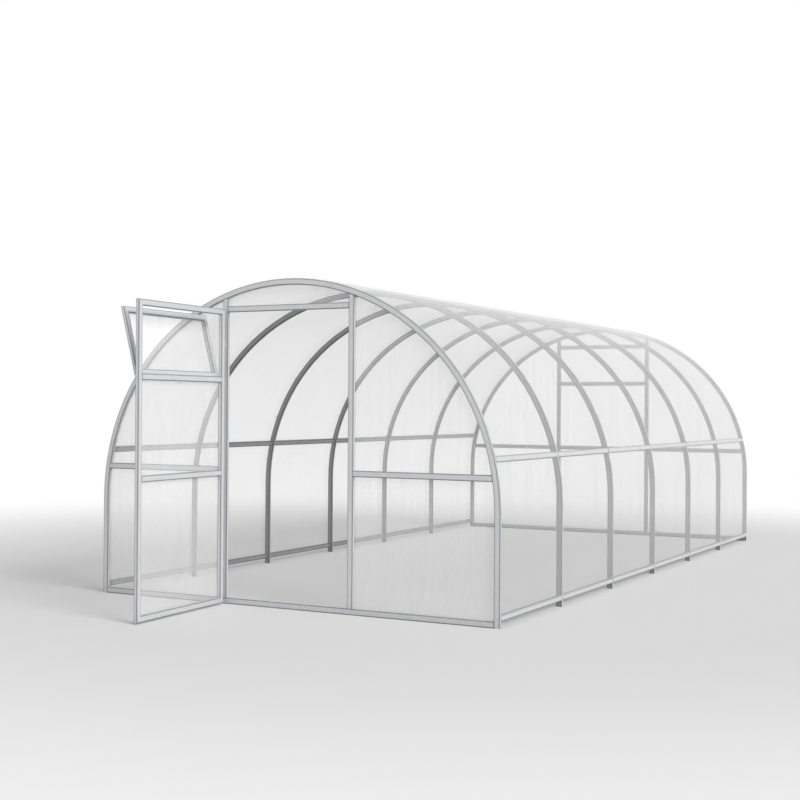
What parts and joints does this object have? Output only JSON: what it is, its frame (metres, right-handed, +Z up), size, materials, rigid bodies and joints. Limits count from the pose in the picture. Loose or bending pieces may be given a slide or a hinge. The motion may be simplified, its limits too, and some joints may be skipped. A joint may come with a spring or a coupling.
{
  "type": "arched greenhouse",
  "caption": "Arched greenhouse: bent steel tube frame under clear polycarbonate sheets, with a hinged door and tilting vent in the front wall.",
  "frame": {"origin": "middle of the front sill's underside, on the ground", "axes": "+X to the right seen from in front, +Y through the house to the rear, +Z up"},
  "size_m": [3.0086, 6.9574, 2.1213],
  "materials": {
    "galvanised_tube": "galvanised",
    "polycarbonate": "clear twin-wall",
    "hinge": "zinc plated"
  },
  "bodies": {
    "house": {"arch_1": "galvanised_tube", "arch_2": "galvanised_tube", "arch_3": "galvanised_tube", "arch_4": "galvanised_tube", "arch_5": "galvanised_tube", "arch_6": "galvanised_tube", "arch_7": "galvanised_tube", "left_base_rails": "galvanised_tube", "right_base_rails": "galvanised_tube", "left_purlins": "galvanised_tube", "right_purlins": "galvanised_tube", "roof_sheet_1": "polycarbonate", "roof_sheet_2": "polycarbonate", "roof_sheet_3": "polycarbonate", "front_sill": "galvanised_tube", "front_left_post": "galvanised_tube", "front_right_post": "galvanised_tube", "front_header": "galvanised_tube", "front_gable_rails": "galvanised_tube", "front_left_pane": "polycarbonate", "front_right_pane": "polycarbonate", "rear_sill": "galvanised_tube", "rear_left_post": "galvanised_tube", "rear_right_post": "galvanised_tube", "rear_header": "galvanised_tube", "rear_gable_rails": "galvanised_tube", "rear_left_pane": "polycarbonate", "rear_right_pane": "polycarbonate", "front_top_pane": "polycarbonate", "front_door_pintles": "hinge", "rear_cross_rails": "galvanised_tube", "rear_middle_pane": "polycarbonate"},
    "front_door": {"front_door_hinge_stile": "galvanised_tube", "front_door_lock_stile": "galvanised_tube", "front_door_rails": "galvanised_tube", "front_door_pane": "polycarbonate", "front_door_eyes": "hinge", "front_vent_pintles": "hinge"},
    "front_vent": {"front_vent_stiles": "galvanised_tube", "front_vent_rails": "galvanised_tube", "front_vent_pane": "polycarbonate", "front_vent_eyes": "hinge"}
  },
  "joints": [
    {"name": "front_door_swing", "type": "hinge", "parent": "house", "child": "front_door", "pos_m": [-0.4765, -0.026, 0], "axis": [0, 0, -1], "range_deg": [-87, 13]},
    {"name": "front_vent_tilt", "type": "hinge", "parent": "front_door", "child": "front_vent", "pos_m": [-0.47753, -0.50321, 1.4685], "axis": [0.0523, -0.9986, 0], "range_deg": [-14, 4]}
  ]
}
